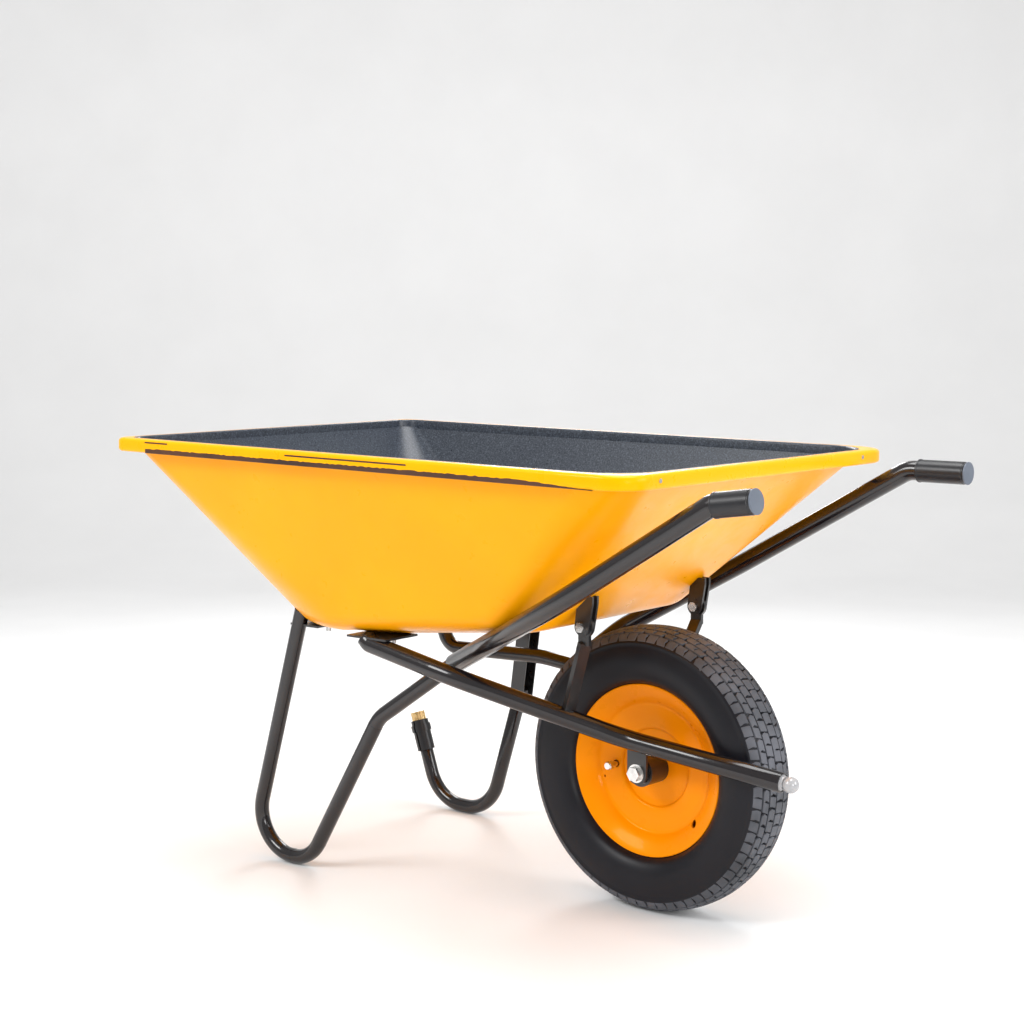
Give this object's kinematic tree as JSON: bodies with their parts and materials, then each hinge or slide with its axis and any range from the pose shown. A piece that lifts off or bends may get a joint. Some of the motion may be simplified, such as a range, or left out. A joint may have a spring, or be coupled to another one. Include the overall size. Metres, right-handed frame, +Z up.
{
  "type": "wheelbarrow",
  "caption": "Single-wheel wheelbarrow with a deep flared pressed tray, bent tube frame and legs, braces and a pneumatic wheel that turns on its axle bolt.",
  "frame": {"origin": "on the ground, under the middle of the whole barrow", "axes": "+X from the tray's rear end to the wheel and the grips, +Y to the far side, +Z up"},
  "size_m": [1.1019, 0.652, 0.6495],
  "materials": {
    "tray_paint": "gloss",
    "tray_coating": "speckled satin",
    "edge_steel": "rough",
    "frame_paint": "gloss",
    "black_plastic": "satin",
    "cap_plastic": "satin",
    "plug_plastic": "gloss",
    "brass": "knurled",
    "zinc": "zinc plated",
    "wheel_paint": "gloss",
    "tube_rubber": "matt",
    "tyre_rubber": "satin"
  },
  "bodies": {
    "frame": {"tray_shell": "tray_paint", "tray_lining": "tray_coating", "rim_bead": "tray_paint", "near_edge_rod": "edge_steel", "far_edge_rod": "edge_steel", "rim_rivets": "zinc", "near_handle": "frame_paint", "far_handle": "frame_paint", "near_grip": "black_plastic", "far_grip": "black_plastic", "near_end_cap": "cap_plastic", "far_end_cap": "cap_plastic", "near_leg": "frame_paint", "far_leg": "frame_paint", "far_leg_channel": "frame_paint", "leg_ferrule": "black_plastic", "brass_insert": "brass", "near_rail": "frame_paint", "far_rail": "frame_paint", "rail_plug": "plug_plastic", "near_brace": "frame_paint", "far_brace": "frame_paint", "near_lug": "frame_paint", "far_lug": "frame_paint", "near_brace_bolt": "zinc", "far_brace_bolt": "zinc", "brace_nuts": "zinc", "rail_saddles": "frame_paint", "leg_saddle": "frame_paint", "tray_bolts": "zinc", "tray_nuts": "zinc", "near_axle_plate": "frame_paint", "far_axle_plate": "frame_paint", "axle_bolt": "zinc", "axle_nut": "zinc", "axle_washers": "zinc", "axle_collars": "zinc"},
    "wheel": {"near_wheel_half": "wheel_paint", "far_wheel_half": "wheel_paint", "hub": "frame_paint", "near_bearing": "zinc", "far_bearing": "zinc", "bearing_spacer": "zinc", "inner_tube": "tube_rubber", "tyre": "tyre_rubber", "valve_stem": "zinc", "valve_cap": "zinc"}
  },
  "joints": [
    {"name": "wheel_spin", "type": "hinge", "parent": "frame", "child": "wheel", "pos_m": [0.22, 0, 0.201], "axis": [0, 1, 0], "continuous": true}
  ]
}
